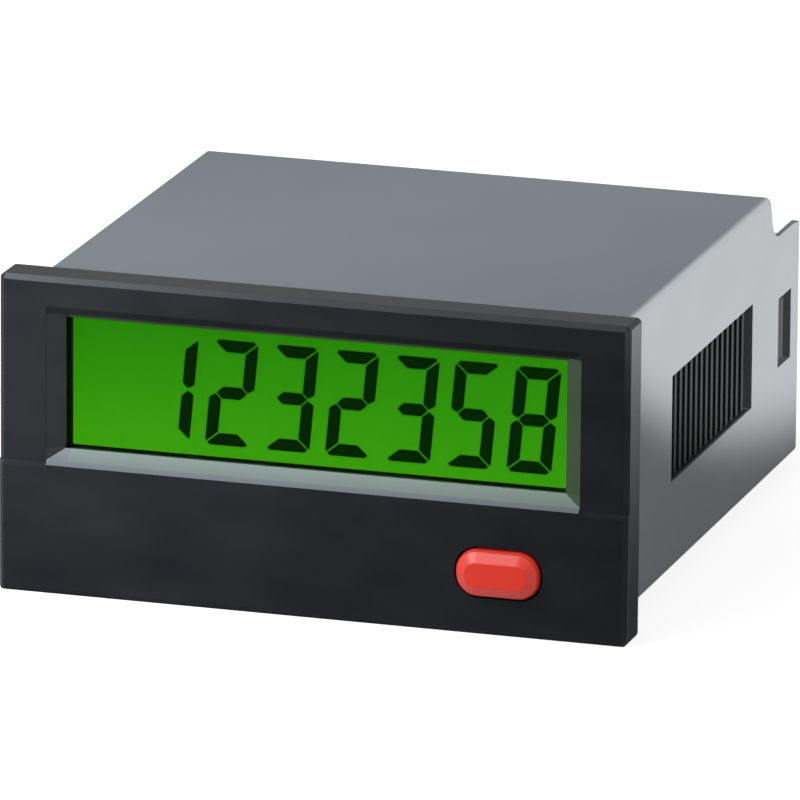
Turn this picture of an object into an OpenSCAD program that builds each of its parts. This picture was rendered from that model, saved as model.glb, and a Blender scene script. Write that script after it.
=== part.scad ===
// Digital panel counter with a backlit eight-place liquid crystal display,
// a red reset button, a moulded sleeve housing and an eight-pole screw terminal.
//
// Frame: X to the right as seen from the front, Y rearwards, Z up.
// The origin is the centre of the panel cut-out, in the plane where the back of
// the front bezel meets the mounting panel.

/* [Display] */
// Number of digit places
digits = 8; // [4:1:9]
// Number that the display shows, blank to the left of its first digit
reading = 1232358; // [0:1:9999999]
// Distance from one digit place to the next
digit_pitch = 4.6; // [4.2:0.1:5]
// Height of a digit
digit_h = 8; // [7:0.1:8.4]
// Width of a digit, without its slant
digit_w = 3.4; // [2.8:0.1:3.6]
// Width of one segment
segment_w = 0.92; // [0.6:0.02:1]
// Gap between neighbouring segments
segment_gap = 0.08; // [0.05:0.01:0.2]
// Sideways lean of a digit for each millimetre of height
digit_slant = 0.09; // [0:0.01:0.18]
// Margin between the outer digit places and the edge of the window
side_margin = 0.7; // [0.4:0.1:1.5]
// Margin above and below the digits inside the window
height_margin = 0.975; // [0.6:0.025:1.2]
// How far the digits sit below the middle of the window
digit_drop = 0.22; // [0:0.02:0.4]
// Width of the glass that the bezel hides on each side of the window
glass_border = 1; // [0.8:0.05:1.5]
// Thickness of each glass plate of the display
glass_t = 0.4; // [0.3:0.05:0.6]
// Thickness of the liquid crystal layer, which holds the segments
cell_t = 0.06; // [0.04:0.01:0.1]
// Height of the contact ledge on the lower edge of the front glass
ledge_h = 1.4; // [1.3:0.05:1.6]
// Thickness of the light guide behind the glass
guide_t = 1.5; // [1:0.1:1.8]
// Number of backlight diodes in each of the two rows
leds_per_row = 3; // [2:1:4]

/* [Front bezel] */
// Thickness of the bezel at its lower panel
bezel_t = 3.2; // [3:0.1:3.6]
// How far the bezel overhangs the housing at the left and right
overhang_side = 1.6; // [1.2:0.1:3]
// How far the bezel overhangs the housing at the top and bottom
overhang_top = 1; // [0.8:0.1:2]
// Radius of the bezel's four corners
bezel_corner_r = 0.4; // [0.3:0.1:2]
// Chamfer round the front edge of the bezel
bezel_chamfer = 0.4; // [0.2:0.05:0.9]
// How far the lower panel stands proud of the window frame
panel_step = 0.25; // [0.1:0.05:0.4]
// Height of the sloping upper edge of the lower panel beside the window
panel_bevel = 0.35; // [0.1:0.05:0.5]
// Width of the sloping border above and below the window
slope_w = 1.15; // [0.6:0.05:1.3]
// Width of the sloping border at the left and right of the window
slope_side = 1.75; // [1:0.05:2]
// Depth of the sloping border, measured from the lower panel
slope_depth = 0.95; // [0.7:0.05:1.1]
// Straight land between the slope and the clear pane
window_land = 0.3; // [0.2:0.05:0.4]
// Distance from the inside of the housing's top wall to the top of the window
window_drop = 0.85; // [0.8:0.05:1.4]
// Thickness of the clear pane
pane_t = 0.5; // [0.3:0.05:0.6]
// Thickness of the black gasket between the pane and the glass
gasket_t = 0.6; // [0.3:0.05:0.7]
// How far the gasket reaches inside the window at the left and right
gasket_lip = 0.15; // [0:0.05:0.3]
// Thickness of the bezel's front wall behind the lower panel
front_wall = 1.5; // [1.3:0.05:1.7]
// Thickness of the skirt that plugs into the housing
skirt_t = 0.8; // [0.6:0.05:1]
// Length of the skirt behind the panel plane
skirt_l = 5; // [4.8:0.1:5.2]
// Depth of the seat in the bezel's back for the front end of the housing
housing_seat = 0.3; // [0.2:0.05:0.5]

/* [Reset button] */
// Width of the button's head
button_w = 6.3; // [5:0.1:7.5]
// Height of the button's head
button_h = 3.5; // [3.2:0.1:4]
// How far the button stands out of the lower panel
button_proud = 0.9; // [0.7:0.05:1.4]
// Width of the bevel round the button's face
button_bevel = 0.85; // [0.3:0.05:1]
// Depth of the bevel round the button's face
button_bevel_d = 0.5; // [0.2:0.05:0.6]
// Gap between the button and the edge of its hole
button_gap = 0.2; // [0.15:0.01:0.3]
// Travel of the button when it is pressed
button_travel = 0.6; // [0.3:0.05:0.6]
// Distance from the bezel's vertical centre line to the button
button_x = 14.35; // [10:0.05:15]
// Height of the button above the inside of the housing's bottom wall
button_rise = 2.55; // [2.4:0.05:3]

/* [Housing] */
// Outer height of the housing
housing_h = 22; // [21:0.1:24]
// Depth of the housing behind the panel plane
housing_d = 49; // [47:0.5:60]
// Wall thickness of the housing
wall = 1.2; // [1:0.05:1.5]
// Radius along the housing's four long edges
edge_r = 0.5; // [0.3:0.05:0.9]
// Length of the lower rear part that leaves the terminals free
step_l = 8.7; // [8.5:0.1:9.5]
// Drop from the top of the housing to the lower rear part
step_h = 3.6; // [3:0.1:4.2]
// Backwards lean of the step between the two levels
step_lean = 1.2; // [0.4:0.1:1.4]
// Fillet at the foot of the step
step_fillet = 2.2; // [0.6:0.1:2.4]
// Length over which the upper edge of the side walls falls towards the rear end
fall_l = 2.2; // [1:0.1:3]
// Height by which the upper edge of the side walls falls there
fall_h = 0.3; // [0.1:0.05:0.5]
// Chamfer on the rear edges of the side walls
rear_chamfer = 0.4; // [0.2:0.05:0.5]
// Depth of the rebate inside the rear of the side walls
rebate = 0.4; // [0.2:0.05:0.5]

/* [Vents] */
// Number of slots in each side grille
vent_slots = 16; // [8:1:18]
// Distance from one slot to the next
vent_pitch = 1.4; // [1.2:0.05:1.5]
// Width of one slot
vent_slot_w = 0.8; // [0.5:0.05:1]
// Height of the slots
vent_h = 8.1; // [5:0.1:9]
// Distance from the panel plane to the middle of the grille
vent_y = 24.85; // [22:0.05:26]
// Height of the middle of the grille above the housing's centre
vent_z = -0.15; // [-1:0.05:1]
// Depth to which the ribs of the grille are set back
vent_set_back = 0.45; // [0.1:0.05:0.6]

/* [Rear cover] */
// Thickness of the rear plate
cover_t = 1.2; // [1:0.05:1.6]
// Distance from the rear end of the housing to the middle of the latch
latch_inset = 4.25; // [4:0.05:4.6]
// Width of the latch windows along the housing
latch_window_l = 3.5; // [3:0.1:4]
// Height of the latch windows
latch_window_h = 5.4; // [4.6:0.1:6]
// Height of the middle of the latch windows above the housing's centre
latch_z = -0.25; // [-0.4:0.05:0.2]
// Clearance round each latch nose in its window
latch_gap = 0.2; // [0.1:0.05:0.4]
// Thickness of the beam that closes the step above the terminals
beam_t = 1.4; // [1:0.1:1.8]

/* [Terminals] */
// Number of poles
poles = 8; // [4:1:8]
// Distance from one pole to the next
pole_pitch = 5; // [4.9:0.05:5.2]
// Depth of the terminal block
block_d = 7.8; // [7.4:0.1:8]
// Height of the terminal block above the main board
block_h = 10; // [9.6:0.1:10.4]
// Gap between the top of the block and the level of the lower rear part
block_drop = 0.4; // [0.2:0.05:0.8]
// Diameter of the round wire entries
wire_d = 2.8; // [2.2:0.1:3]
// Diameter of the screw heads
screw_head_d = 3.5; // [3:0.1:3.8]
// Diameter of the screw shanks
screw_d = 2.3; // [2:0.05:2.5]
// Wall of the clamping cages
cage_t = 0.4; // [0.3:0.05:0.5]

/* [Boards] */
// Thickness of both circuit boards
board_t = 1.6; // [1.2:0.1:1.7]
// Diameter of the lithium cell
cell_d = 24.5; // [20:0.1:24.6]
// Height of the lithium cell
cell_h = 5; // [3.2:0.1:5.4]
// Width of the battery tabs
tab_w = 4; // [2.5:0.1:5]
// Number of pins between the two boards
header_pins = 8; // [4:1:12]
// Diameter of the two electrolytic capacitors
capacitor_d = 6.3; // [5:0.1:6.4]
// Height of the two electrolytic capacitors
capacitor_h = 7.2; // [5:0.1:7.7]
// Side of the microcontroller's square body
chip_w = 9; // [7:0.1:9.4]
// Number of leads on each side of the microcontroller
chip_leads = 10; // [6:1:11]

/* [Fits] */
// Clearance of parts that slide into each other
clear = 0.15; // [0.1:0.01:0.2]
// Clearance of parts that lie against each other
seat = 0.05; // [0.02:0.01:0.08]

/* [Hidden] */
$fn = 48;
eps = 0.01;

// Widths: the sleeve is as wide as the wider of the display and the terminals
window_w = digits*digit_pitch + 2*side_margin;
window_h = digit_h + 2*height_margin;
glass_w = window_w + 2*glass_border;
block_w = poles*pole_pitch;
cover_side_min = 1.2;
inner_w = max(glass_w + 4*clear + 2*skirt_t, block_w + 2*cover_side_min);
inner_h = housing_h - 2*wall;
housing_w = inner_w + 2*wall;
bezel_w = housing_w + 2*overhang_side;
bezel_h = housing_h + 2*overhang_top;

// Heights on the front
window_top = inner_h/2 - window_drop;
window_bottom = window_top - window_h;
window_z = (window_top + window_bottom)/2;
digit_z = window_z - digit_drop;
step_share = panel_step/slope_depth;
panel_line = window_bottom - slope_w + panel_bevel/3;
sill_half = window_w/2 + slope_side*(1 - step_share) - seat;
button_z = -inner_h/2 + button_rise;

// Depths of the display stack, from the front to the rear
frame_front = -bezel_t + panel_step;
land_front = -bezel_t + slope_depth;
pane_front = land_front + window_land;
gasket_front = pane_front + pane_t;
glass_front = gasket_front + gasket_t;
cell_front = glass_front + glass_t;
rear_glass_front = cell_front + cell_t;
guide_front = rear_glass_front + glass_t + 2*seat;
led_t = 0.8;
led_gap = 0.3;
display_board_y = guide_front + guide_t + led_gap + led_t;
display_board_back = display_board_y + board_t;
glass_top = window_top + 0.5;
glass_bottom = window_bottom - 0.4;
ledge_bottom = glass_bottom - ledge_h;
pane_margin = 0.8;
pane_top = window_top + 0.35;

// The skirt of the bezel and the pockets behind its front wall
skirt_w = inner_w - 2*clear;
skirt_h = inner_h - 2*clear;
pocket_w = skirt_w - 2*skirt_t;
pocket_bottom = -skirt_h/2 + skirt_t;
pocket_front = -bezel_t + front_wall;
glass_pocket_top = glass_top + clear;
glass_pocket_bottom = ledge_bottom - clear;
pocket_rib = 0.55;
catch_y = 3.2;
catch_l = 1.2;
catch_side = 6;
catch_proud = 0.35;
hook_reach = 0.4;
hook_w = 2.4;
hook_z = 5;

// The button, its flange and the switch behind it
button_face = -bezel_t - button_proud;
button_back = -bezel_t + front_wall - button_travel - 0.1;
button_corner = button_h*0.46;
flange_w = button_w + 2.2;
flange_h = 2*(button_rise - clear - skirt_t) - 2*clear;
flange_t = 0.6;
flange_front = pocket_front + seat;
stem_d = 2;
switch_w = 4.2;
switch_h = 2*(button_z - pocket_bottom) - 0.6;
switch_t = 1.6;
switch_front = display_board_y - switch_t;
plunger_d = 1.6;
plunger_tip = switch_front - button_travel - 0.2;
plunger_back = switch_front + 0.6;

// Levels at the rear
step_front = housing_d - step_l;
rear_level = housing_h/2 - step_h;
cover_back = housing_d - 0.2;
block_back = cover_back;
block_front = block_back - block_d;
block_top = rear_level - block_drop;
board_top = block_top - block_h;
board_bottom = board_top - board_t;
side_inner = inner_w/2 + rebate;
rebate_front = block_front - beam_t - 3*clear;
lip_chamfer = (wall - rebate)/2;

// The main board
board_gap = 0.25;
main_w = inner_w - 2*board_gap;
main_front = skirt_l + 0.3;
main_back = cover_back - cover_t - 2*clear;
rail_reach = 1;
rail_h = 0.9;
rail_l = 4.5;

// The rear cover
arm_inner = block_w/2 + clear;
arm_outer = side_inner - clear;
latch_y = housing_d - latch_inset;
nose_l = 2;
nose_reach = wall - rebate + clear - 0.25;
beam_front = block_front - beam_t;

// The terminals
cage_w = 3.7;
cage_d = 3.6;
cage_bottom = board_top + 0.75;
cage_window_h = 2.9;
cage_top_t = 1.4;
cage_h = cage_t + cage_window_h + cage_top_t;
pole_y = block_front + 4.1;
wire_z = cage_bottom + cage_t + wire_d/2;
tongue_t = 0.5;
tongue_top = cage_bottom + cage_t + cage_window_h - seat;
screw_tip = tongue_top + seat;
screw_l = 4.2;
screw_head_h = 1.6;
well_d = screw_head_d + 0.4;
pin_tail_w = 1;
pin_tail_t = 0.8;
pin_y = pole_y - cage_d/2 - 0.75;
pin_length = 2;

// Parts on the main board
header_pitch = 2.54;
header_pin = 0.64;
header_h = 2.5;
header_y = main_front + 0.7;
header_z = board_top + header_h/2;
tab_margin = 2.7;
battery_x = -main_w/2 + tab_margin + cell_d/2;
cell_gap = 0.85;
battery_y = header_y + header_h + cell_gap + cell_d/2;
tab_t = 0.2;
tab_drop = 0.6;
tab_reach = 3;
tab_left = 1.2;
tab_right = 1.8;
chip_margin = 2.25;
chip_gap = 1.5;
chip_t = 1.2;
lead_w = 0.35;
lead_t = 0.15;
lead_l = 1;
crystal_d = 2;
crystal_l = 6;
crystal_gap = 0.8;
chip_x = main_w/2 - chip_margin - chip_w/2;
chip_y = header_y + header_h + chip_gap + lead_l + chip_w/2;
crystal_y = chip_y - chip_w/2 - lead_l - crystal_gap - crystal_d/2;
capacitor_x = 13.8;
capacitor_y = block_front - capacitor_d/2 - 0.5;
capacitor_step = capacitor_d + 0.4;
opto_w = 4.6;
opto_l = 6.2;
opto_h = 2.3;
opto_lift = 0.2;
opto_x = -14;
opto_gap = 1.4;
opto_pitch = opto_w + opto_gap;
opto_y = block_front - opto_l/2 - 0.4;
resistor_l = 3.2;
resistor_w = 1.6;
resistor_t = 0.55;
resistor_gap = 0.6;
resistor_pitch = resistor_w + 1.2;
resistor_x = opto_x + 2*opto_pitch + opto_gap;
resistor_y = block_front - 2*resistor_l - resistor_gap - 0.4;

function pole_x(i) = (i - (poles - 1)/2)*pole_pitch;
function header_x(i) = (i - (header_pins - 1)/2)*header_pitch;
function led_x(i) = (i - (leds_per_row - 1)/2)*window_w/leds_per_row;
function tab_ends() = [battery_x - cell_d/2 - tab_left, battery_x + cell_d/2 + tab_right];

// A rectangle with rounded corners, centred on the origin
module rounded_rect(w, h, r) {
    square([w - 2*r, h], center = true);
    square([w, h - 2*r], center = true);
    for (x = [-1, 1], z = [-1, 1])
        translate([x*(w/2 - r), z*(h/2 - r)])
            circle(r);
}

// Turns a flat shape drawn as X and Z into a plate from y0 to y1
module plate(y0, y1) {
    translate([0, y1, 0])
        rotate([90, 0, 0])
            linear_extrude(y1 - y0)
                children();
}

// A box given by its lowest and highest corners
module block(low, high) {
    translate(low)
        cube(high - low);
}

// Turns a flat shape drawn as Y and Z into a bar from x0 to x1
module bar(x0, x1) {
    translate([x0, 0, 0])
        rotate([90, 0, 90])
            linear_extrude(x1 - x0)
                children();
}

// Turns a flat shape drawn as X and Y into a block from z0 to z1
module layer(z0, z1) {
    translate([0, 0, z0])
        linear_extrude(z1 - z0)
            children();
}

// The outer form of the bezel between two heights, with its front edges bevelled
module bezel_slab(front, low, high, bevel_depth, bevel_drop) {
    intersection() {
        plate(front, 0)
            rounded_rect(bezel_w, bezel_h, bezel_corner_r);
        bar(-bezel_w/2, bezel_w/2)
            polygon([[0, low], [front + bezel_chamfer, low], [front, low + bezel_chamfer],
                     [front, high - bevel_drop], [front + bevel_depth, high], [0, high]]);
        layer(-bezel_h/2, bezel_h/2)
            polygon([[-bezel_w/2, 0], [-bezel_w/2, front + bezel_chamfer],
                     [-bezel_w/2 + bezel_chamfer, front], [bezel_w/2 - bezel_chamfer, front],
                     [bezel_w/2, front + bezel_chamfer], [bezel_w/2, 0]]);
    }
}

// The sloping recess round the window, deeper than the front by one step
module window_slopes() {
    deep = land_front + eps;
    front = -bezel_t - 1;
    share = (deep - front)/slope_depth;
    half = window_w/2;
    intersection() {
        layer(-bezel_h/2, bezel_h/2)
            polygon([[-half, deep], [-half - slope_side*share, front],
                     [half + slope_side*share, front], [half, deep]]);
        bar(-bezel_w/2, bezel_w/2)
            polygon([[deep, window_bottom], [front, window_bottom - slope_w*share],
                     [front, window_top + slope_w*share], [deep, window_top]]);
    }
}

// Snap catches on the skirt, or with grow the pockets that take them
module catches(grow) {
    reach = catch_proud + grow;
    for (side = [-1, 1])
        layer(-catch_side/2 - grow, catch_side/2 + grow)
            polygon([[side*(skirt_w/2 - eps), catch_y - grow],
                     [side*(skirt_w/2 + reach), catch_y + reach - grow],
                     [side*(skirt_w/2 + reach), catch_y + catch_l - 0.3*catch_l],
                     [side*(skirt_w/2 + reach), catch_y + catch_l],
                     [side*(skirt_w/2 - eps), catch_y + catch_l + 2*grow]]);
}

// Hooks on the inside of the skirt that hold the display board
module board_hooks() {
    back = display_board_back + seat;
    for (side = [-1, 1], z = [-hook_z, hook_z])
        layer(z - hook_w/2, z + hook_w/2)
            polygon([[side*(pocket_w/2 + eps), back],
                     [side*(pocket_w/2 - hook_reach), back],
                     [side*(pocket_w/2 - hook_reach), back + 0.2],
                     [side*(pocket_w/2 + eps), skirt_l]]);
}

module front_bezel() {
    color("#2b3034")
    difference() {
        union() {
            bezel_slab(frame_front, -bezel_h/2, bezel_h/2, bezel_chamfer, bezel_chamfer);
            bezel_slab(-bezel_t, -bezel_h/2, panel_line, panel_step, panel_bevel);
            block([-sill_half, -bezel_t, panel_line - 2*panel_bevel],
                  [sill_half, frame_front + eps, window_bottom - eps]);
            difference() {
                block([-skirt_w/2, -eps, -skirt_h/2], [skirt_w/2, skirt_l, skirt_h/2]);
                block([-pocket_w/2, -1, pocket_bottom], [pocket_w/2, skirt_l + 1, skirt_h]);
            }
            catches(0);
            board_hooks();
        }
        plate(-housing_seat, eps)
            difference() {
                rounded_rect(housing_w + 2*seat, housing_h + 2*seat, edge_r + seat);
                square([skirt_w, skirt_h], center = true);
            }
        window_slopes();
        block([-window_w/2, land_front - eps, window_bottom],
              [window_w/2, pane_front + eps, window_top]);
        block([-window_w/2 - pane_margin, pane_front, window_bottom - pane_margin],
              [window_w/2 + pane_margin, gasket_front + eps, pane_top + clear]);
        block([-pocket_w/2, gasket_front, glass_pocket_bottom],
              [pocket_w/2, eps, glass_pocket_top]);
        block([-pocket_w/2, pocket_front, pocket_bottom],
              [pocket_w/2, eps, glass_pocket_bottom - pocket_rib]);
        translate([button_x, 0, button_z])
            plate(-bezel_t - 1, pocket_front + eps)
                rounded_rect(button_w + 2*button_gap, button_h + 2*button_gap,
                             button_corner + button_gap);
    }
}

module display_window() {
    color("#b8c8c8", 0.3)
    block([-window_w/2 - pane_margin + clear, pane_front + seat, window_bottom - pane_margin + clear],
          [window_w/2 + pane_margin - clear, gasket_front, pane_top]);
}

module display_gasket() {
    color("#0c0d0e")
    plate(gasket_front + seat, glass_front - seat)
        difference() {
            translate([-pocket_w/2 + clear, ledge_bottom])
                square([pocket_w - 2*clear, glass_top - ledge_bottom]);
            translate([-window_w/2 + gasket_lip, window_bottom])
                square([window_w - 2*gasket_lip, window_h]);
        }
}

module lcd_front_glass() {
    color("#c8d8c0", 0.3)
    block([-glass_w/2, glass_front, ledge_bottom], [glass_w/2, cell_front, glass_top]);
}

module lcd_rear_glass() {
    color("#c8d8c0", 0.3)
    block([-glass_w/2, rear_glass_front, glass_bottom],
          [glass_w/2, rear_glass_front + glass_t, glass_top]);
}

// Which of the seven segments are dark for each digit: top, upper right, lower
// right, bottom, lower left, upper left, middle
SEGMENTS = [[1, 1, 1, 1, 1, 1, 0], [0, 1, 1, 0, 0, 0, 0], [1, 1, 0, 1, 1, 0, 1],
            [1, 1, 1, 1, 0, 0, 1], [0, 1, 1, 0, 0, 1, 1], [1, 0, 1, 1, 0, 1, 1],
            [1, 0, 1, 1, 1, 1, 1], [1, 1, 1, 0, 0, 0, 0], [1, 1, 1, 1, 1, 1, 1],
            [1, 1, 1, 1, 0, 1, 1]];

function place_value(i) = floor(reading/pow(10, digits - 1 - i));
function digit_at(i) = place_value(i) % 10;
function slanted(points) = [for (p = points) [p[0] + digit_slant*p[1], p[1]]];

// An end segment lies along the top of the digit and is mitred at both ends
function end_segment() =
    let (w = digit_w/2 - segment_gap, h = digit_h/2, s = segment_w, c = s*0.3)
    [[-w + c, h], [w - c, h], [w - c*0.3, h - c*0.7], [w - s, h - s], [s - w, h - s],
     [c*0.3 - w, h - c*0.7]];

// A side segment lies along the upper right of the digit
function side_segment() =
    let (w = digit_w/2, h = digit_h/2, s = segment_w, g = segment_gap, c = s*0.3)
    [[w, h - g - c], [w - c*0.3, h - g - c*0.7], [w - s, h - g - s],
     [w - s, s/2 + g/2], [w - s/2, g], [w, s/3 + g]];

// The middle segment is pointed at both ends
function middle_segment() =
    let (w = digit_w/2 - segment_w/2 - segment_gap, s = segment_w/2)
    [[-w, 0], [s - w, s], [w - s, s], [w, 0], [w - s, -s], [s - w, -s]];

function turned(points, sx, sz) = [for (p = points) [p[0]*sx, p[1]*sz]];

module digit(value) {
    shapes = [end_segment(), side_segment(), turned(side_segment(), 1, -1),
              turned(end_segment(), 1, -1), turned(side_segment(), -1, -1),
              turned(side_segment(), -1, 1), middle_segment()];
    for (k = [0:6])
        if (SEGMENTS[value][k] == 1)
            polygon(slanted(shapes[k]));
}

module lcd_segments() {
    color("#0a1a08")
    plate(cell_front, rear_glass_front)
        for (i = [0:digits - 1])
            if (place_value(i) > 0)
                translate([(i - (digits - 1)/2)*digit_pitch, digit_z])
                    digit(digit_at(i));
}

module light_guide() {
    foot_d = 1.6;
    color("#4fbf18")
    union() {
        block([-glass_w/2, guide_front, glass_bottom], [glass_w/2, guide_front + guide_t, glass_top]);
        for (x = [-1, 1], z = [glass_bottom + foot_d, glass_top - foot_d])
            translate([x*(glass_w/2 - foot_d), display_board_y - seat, z])
                rotate([90, 0, 0])
                    cylinder(d = foot_d, h = led_gap + led_t);
    }
}

module backlight_leds() {
    led_w = 3.2;
    led_h = 2.4;
    color("#e8e6c8")
    for (i = [0:leds_per_row - 1], z = [window_z - window_h/4, window_z + window_h/4])
        translate([led_x(i) - led_w/2, display_board_y - led_t, z - led_h/2])
            cube([led_w, led_t, led_h]);
}

// Elastomer strip that carries the signals from the board to the glass ledge
module contact_strip() {
    strip_h = 1;
    color("#d0d0c8")
    block([-glass_w/2 + 0.6, cell_front + seat, glass_bottom - 0.25 - strip_h],
          [glass_w/2 - 0.6, display_board_y - seat, glass_bottom - 0.25]);
}

module display_board() {
    low = pocket_bottom + clear;
    color("#1f6b3a")
    difference() {
        block([-pocket_w/2 + clear, display_board_y, low],
              [pocket_w/2 - clear, display_board_back, glass_top]);
        for (i = [0:header_pins - 1])
            translate([header_x(i), display_board_back + 1, header_z])
                rotate([90, 0, 0])
                    cylinder(d = header_pin*1.5 + 0.1, h = board_t + 2);
    }
}

// The front of the button's head: a bevel round the face and a steeper edge below it
module button_dome() {
    edge = button_bevel*0.15;
    hull()
        for (ring = [[button_bevel, 0], [edge, button_bevel_d], [0, button_bevel_d + edge*2]])
            plate(button_face + ring[1], button_face + ring[1] + eps)
                rounded_rect(button_w - 2*ring[0], button_h - 2*ring[0], button_corner - ring[0], $fn = 32);
}

module reset_button() {
    color("#d8402c")
    translate([button_x, 0, button_z]) {
        button_dome();
        plate(button_face + button_bevel_d + button_bevel*0.3, button_back)
            rounded_rect(button_w, button_h, button_corner, $fn = 32);
        block([-button_w/2 + button_corner, button_back - eps, -flange_h/2],
              [button_w/2 - button_corner, flange_front + flange_t, flange_h/2]);
        block([-flange_w/2, flange_front, -flange_h/2],
              [flange_w/2, flange_front + flange_t, flange_h/2]);
        translate([0, plunger_tip - seat, 0])
            rotate([90, 0, 0])
                cylinder(d = stem_d, h = plunger_tip - seat - flange_front - flange_t + eps);
    }
}

module switch_body() {
    lead = 0.7;
    color("#3a3d40")
    translate([button_x, 0, button_z])
    difference() {
        union() {
            block([-switch_w/2, switch_front, -switch_h/2],
                  [switch_w/2, display_board_y - seat, switch_h/2]);
            for (x = [-1, 1])
                translate([x*(switch_w/2 + lead/2) - lead/2 - eps*x, display_board_y - seat - 0.3, -0.6])
                    cube([lead, 0.3, 1.2]);
        }
        translate([0, display_board_y - seat - 0.3, 0])
            rotate([90, 0, 0])
                cylinder(d = plunger_d + 0.2, h = switch_t);
    }
}

module switch_plunger() {
    color("#e8e4da")
    translate([button_x, plunger_back, button_z])
        rotate([90, 0, 0])
            cylinder(d = plunger_d, h = plunger_back - plunger_tip);
}

// Right-angle pin header between the two boards
module board_connector() {
    body_w = header_pins*header_pitch;
    half = header_pin/2;
    color("#17181a")
    difference() {
        block([-body_w/2, header_y, board_top], [body_w/2, header_y + header_h, board_top + header_h]);
        for (i = [1:header_pins - 1])
            translate([header_x(i) - header_pitch/2, header_y - 1, board_top + header_h - 0.3])
                rotate([0, 45, 0])
                    cube([0.8, header_h + 2, 0.8]);
    }
    color("#c9b46a")
    for (i = [0:header_pins - 1]) {
        block([header_x(i) - half, display_board_y + 0.2, header_z - half],
              [header_x(i) + half, header_y + eps, header_z + half]);
        block([header_x(i) - half, header_y + header_h/2 - half, board_bottom - 1],
              [header_x(i) + half, header_y + header_h/2 + half, board_top + eps]);
    }
}

// The side view of what is cut away above the terminals
module step_cut() {
    foot = step_front + step_lean;
    top = housing_h/2 + 1;
    lean = atan2(step_lean, step_h);
    reach = step_fillet*tan(45 - lean/2);
    polygon([[step_front - step_lean/step_h, top],
             [foot - reach*sin(lean), rear_level + reach*cos(lean)],
             [foot + reach, rear_level], [housing_d - fall_l, rear_level],
             [housing_d + 1, rear_level - fall_h*(1 + 1/fall_l)], [housing_d + 1, top]]);
    translate([foot + reach, rear_level + step_fillet])
        circle(step_fillet + eps);
}

module vent_grille(side) {
    span = (vent_slots - 1)*vent_pitch + vent_slot_w;
    outer = side*(housing_w/2 + 1);
    set_back = side*(housing_w/2 - vent_set_back);
    inner = side*(inner_w/2 - eps);
    low = vent_z - vent_h/2;
    high = vent_z + vent_h/2;
    block([min(outer, set_back), vent_y - span/2, low], [max(outer, set_back), vent_y + span/2, high]);
    for (i = [0:vent_slots - 1])
        block([min(outer, inner), vent_y - span/2 + i*vent_pitch, low],
              [max(outer, inner), vent_y - span/2 + i*vent_pitch + vent_slot_w, high]);
}

// Rails inside the side walls that the main board slides between
module board_rails(side) {
    x0 = side > 0 ? inner_w/2 - rail_reach : -inner_w/2 - eps;
    x1 = side > 0 ? inner_w/2 + eps : -inner_w/2 + rail_reach;
    block([x0, main_front + 2, board_bottom - seat - rail_h], [x1, rebate_front, board_bottom - seat]);
    for (y = [main_front + 2, rebate_front - rail_l])
        block([x0, y, board_top + seat], [x1, y + rail_l, board_top + seat + rail_h]);
}

module housing() {
    color("#878d93")
    difference() {
        union() {
            difference() {
                intersection() {
                    plate(seat - housing_seat, housing_d)
                        rounded_rect(housing_w, housing_h, edge_r);
                    layer(-housing_h/2, housing_h/2)
                        polygon([[-housing_w/2, -1], [-housing_w/2, housing_d - rear_chamfer],
                                 [-housing_w/2 + rear_chamfer, housing_d],
                                 [housing_w/2 - rear_chamfer, housing_d],
                                 [housing_w/2, housing_d - rear_chamfer], [housing_w/2, -1]]);
                }
                block([-inner_w/2, -1, -inner_h/2], [inner_w/2, housing_d + 1, inner_h/2]);
            }
            for (side = [-1, 1])
                board_rails(side);
        }
        bar(-housing_w, housing_w)
            step_cut();
        block([-side_inner, rebate_front, -inner_h/2], [side_inner, housing_d + 1, inner_h/2]);
        plate(step_front + step_lean + step_fillet, housing_d + 1)
            polygon([[-side_inner, rear_level - lip_chamfer],
                     [-side_inner - 2*lip_chamfer, rear_level + lip_chamfer],
                     [side_inner + 2*lip_chamfer, rear_level + lip_chamfer],
                     [side_inner, rear_level - lip_chamfer]]);
        for (side = [-1, 1]) {
            vent_grille(side);
            block([side > 0 ? side_inner - eps : -housing_w/2 - 1, latch_y - latch_window_l/2,
                   latch_z - latch_window_h/2],
                  [side > 0 ? housing_w/2 + 1 : -side_inner + eps, latch_y + latch_window_l/2,
                   latch_z + latch_window_h/2]);
        }
        catches(clear);
    }
}

module main_board() {
    color("#1f6b3a")
    difference() {
        block([-main_w/2, main_front, board_bottom], [main_w/2, main_back, board_top]);
        for (i = [0:header_pins - 1])
            translate([header_x(i), header_y + header_h/2, board_bottom - 1])
                cylinder(d = header_pin*1.5 + 0.1, h = board_t + 2);
        for (i = [0:poles - 1])
            translate([pole_x(i), pin_y, board_bottom - 1])
                cylinder(d = 1.5, h = board_t + 2);
        for (x = tab_ends())
            block([x - tab_t/2 - clear, battery_y - tab_w/2 - clear, board_bottom - 1],
                  [x + tab_t/2 + clear, battery_y + tab_w/2 + clear, board_top + 1]);
    }
}

cell_bottom = board_top + tab_t + 2*seat;

module battery_cell() {
    rim = 0.6;
    color("#c8cacc")
    translate([battery_x, battery_y, cell_bottom])
        rotate_extrude($fn = 64)
            polygon([[0, 0], [cell_d/2 - 1.6, 0], [cell_d/2 - 1.2, 0.3], [cell_d/2 - 0.4, 0.3],
                     [cell_d/2, rim], [cell_d/2, cell_h - 0.4], [cell_d/2 - 0.4, cell_h], [0, cell_h]]);
}

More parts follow.
